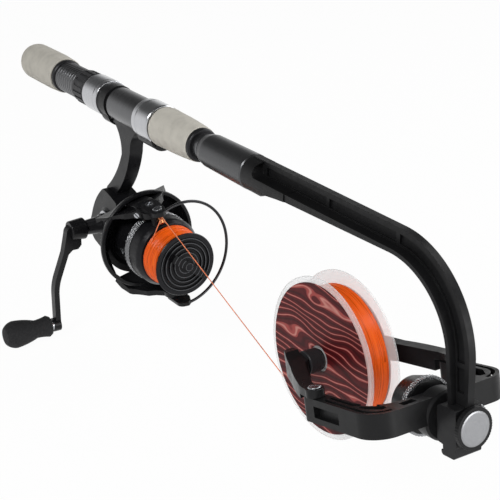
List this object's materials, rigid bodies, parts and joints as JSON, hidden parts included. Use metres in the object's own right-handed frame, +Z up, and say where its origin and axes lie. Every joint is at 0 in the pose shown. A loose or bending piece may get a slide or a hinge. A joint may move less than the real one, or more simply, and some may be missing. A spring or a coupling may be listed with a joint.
{
  "type": "fishing line winder",
  "caption": "Hand-held fishing line winder: rod handle with a spinning reel, curved arm, and a fork that holds a filler spool of line between sprung levers.",
  "frame": {"origin": "on the handle's axis, at the middle of the butt grip's straight stretch", "axes": "+X along the handle from the butt towards the arm, +Z up away from the reel, -Y towards the reel's crank"},
  "size_m": [0.5577, 0.1509, 0.1962],
  "materials": {
    "eva_foam": "fine matt foam",
    "silver": "bright brushed",
    "steel": "brushed",
    "seat_black": "dark satin",
    "black_plastic": "satin moulded plastic",
    "reel_black": "satin paint",
    "dark_blue_grey": "satin anodised",
    "charcoal_foam": "fine matt foam",
    "clear_plastic": "clear",
    "label": null,
    "orange_line": "wound line",
    "copper": "polished"
  },
  "bodies": {
    "handle": {"butt_grip": "eva_foam", "butt_collar": "seat_black", "core_tube": "seat_black", "seat_tube": "seat_black", "fixed_hood_ring": "silver", "fixed_hood": "black_plastic", "foregrip": "eva_foam", "foregrip_collar": "seat_black", "ferrule": "reel_black", "sleeve": "seat_black", "arm": "black_plastic", "end_block": "black_plastic", "reel_body": "reel_black", "body_ring": "silver", "line": "orange_line"},
    "hood": {"hood_barrel": "silver", "sliding_hood": "black_plastic"},
    "nut": {"lock_nut": "seat_black"},
    "lock_knob": {"knob_ring": "black_plastic", "knob_disc": "silver"},
    "side_wheel": {"side_wheel": "silver"},
    "detent_button": {"detent_button": "black_plastic"},
    "fork": {"fork_frame": "black_plastic", "fork_spigot": "steel", "pivot_screw_left": "steel", "pivot_screw_right": "steel"},
    "tension_wheel": {"tension_drum": "black_plastic", "tension_band": "silver"},
    "lever_left": {"lever_left": "black_plastic"},
    "lever_right": {"lever_right": "black_plastic"},
    "cone_left": {"cone_left": "black_plastic"},
    "cone_right": {"cone_right": "black_plastic"},
    "filler": {"filler_spool": "clear_plastic", "filler_winding": "orange_line", "filler_label_left": "label", "filler_label_right": "label"},
    "rotor": {"rotor": "reel_black"},
    "bail": {"bail_arm": "reel_black", "bail_foot": "reel_black", "bail_wire": "reel_black", "roller_cover": "reel_black"},
    "line_roller": {"line_roller": "copper"},
    "main_shaft": {"main_shaft": "steel"},
    "reel_spool": {"reel_spool": "dark_blue_grey", "skirt_ring": "silver", "reel_winding": "orange_line"},
    "drag_knob": {"drag_knob": "reel_black"},
    "crank": {"crank_shaft": "reel_black", "crank_arm": "reel_black", "knob_pin": "steel"},
    "crank_knob": {"crank_knob": "charcoal_foam"}
  },
  "joints": [
    {"name": "hood_slide", "type": "slide", "parent": "handle", "child": "hood", "axis": [1, 0, 0], "range_m": [-0.012, 0]},
    {"name": "nut_turn", "type": "hinge", "parent": "hood", "child": "nut", "pos_m": [0.083, 0, 0], "axis": [1, 0, 0], "range_deg": [-1080, 0]},
    {"name": "lock_knob_turn", "type": "hinge", "parent": "handle", "child": "lock_knob", "pos_m": [0.5228, 0, -0.078], "axis": [0.9914, 0, 0.1305], "range_deg": [0, 540]},
    {"name": "side_wheel_turn", "type": "hinge", "parent": "handle", "child": "side_wheel", "pos_m": [0.51252, 0.012, -0.08036], "axis": [0, 1, 0], "range_deg": [0, 360]},
    {"name": "button_press", "type": "slide", "parent": "handle", "child": "detent_button", "axis": [-0.1305, 0, 0.9914], "range_m": [0, 0.0012], "stiffness_N_per_m": 600, "springref_m": -0.001},
    {"name": "fork_turn", "type": "hinge", "parent": "handle", "child": "fork", "pos_m": [0.50297, 0, -0.08061], "axis": [0.9914, 0, 0.1305], "range_deg": [0, 90]},
    {"name": "tension_turn", "type": "hinge", "parent": "fork", "child": "tension_wheel", "pos_m": [0.48711, 0, -0.0827], "axis": [0.9914, 0, 0.1305], "range_deg": [0, 270]},
    {"name": "lever_left_swing", "type": "hinge", "parent": "fork", "child": "lever_left", "pos_m": [0.45901, 0.044, -0.07742], "axis": [-0.2639, 0, 0.9646], "range_deg": [-20, 0], "stiffness_Nm_per_rad": 0.25, "springref_deg": 17.19},
    {"name": "lever_right_swing", "type": "hinge", "parent": "fork", "child": "lever_right", "pos_m": [0.44502, -0.044, -0.08125], "axis": [-0.2639, 0, 0.9646], "range_deg": [0, 20], "stiffness_Nm_per_rad": 0.25, "springref_deg": -17.19},
    {"name": "filler_spin", "type": "hinge", "parent": "fork", "child": "filler", "pos_m": [0.403, 0, -0.0887], "axis": [0, 1, 0], "continuous": true},
    {"name": "cone_left_spin", "type": "hinge", "parent": "lever_left", "child": "cone_left", "pos_m": [0.403, 0.016, -0.0887], "axis": [0, 1, 0], "continuous": true},
    {"name": "cone_right_spin", "type": "hinge", "parent": "lever_right", "child": "cone_right", "pos_m": [0.403, -0.016, -0.0887], "axis": [0, 1, 0], "continuous": true},
    {"name": "rotor_spin", "type": "hinge", "parent": "handle", "child": "rotor", "pos_m": [0.149, 0, -0.0958], "axis": [1, 0, 0], "continuous": true, "deforming": ["line"]},
    {"name": "bail_flip", "type": "hinge", "parent": "rotor", "child": "bail", "pos_m": [0.191, 0, -0.0958], "axis": [0, -0.2571, 0.9664], "range_deg": [-80, 0]},
    {"name": "roller_spin", "type": "hinge", "parent": "bail", "child": "line_roller", "pos_m": [0.203, -0.00797, -0.06584], "axis": [0, -0.2571, 0.9664], "continuous": true},
    {"name": "shaft_slide", "type": "slide", "parent": "handle", "child": "main_shaft", "axis": [1, 0, 0], "range_m": [-0.006, 0.003]},
    {"name": "spool_slip", "type": "hinge", "parent": "main_shaft", "child": "reel_spool", "pos_m": [0.199, 0, -0.0958], "axis": [1, 0, 0], "continuous": true},
    {"name": "drag_turn", "type": "hinge", "parent": "main_shaft", "child": "drag_knob", "pos_m": [0.225, 0, -0.0958], "axis": [1, 0, 0], "range_deg": [0, 270]},
    {"name": "crank_turn", "type": "hinge", "parent": "handle", "child": "crank", "pos_m": [0.123, -0.014, -0.0958], "axis": [0, 1, 0], "continuous": true},
    {"name": "knob_spin", "type": "hinge", "parent": "crank", "child": "crank_knob", "pos_m": [0.123, -0.08, -0.1708], "axis": [0, 1, 0], "continuous": true}
  ],
  "couplings": [
    {"joint": "nut_turn", "follows": "hood_slide", "rad_per_m": 1570.8},
    {"joint": "cone_left_spin", "follows": "filler_spin", "ratio": 1},
    {"joint": "cone_right_spin", "follows": "filler_spin", "ratio": 1},
    {"joint": "crank_turn", "follows": "rotor_spin", "ratio": 0.19231}
  ]
}
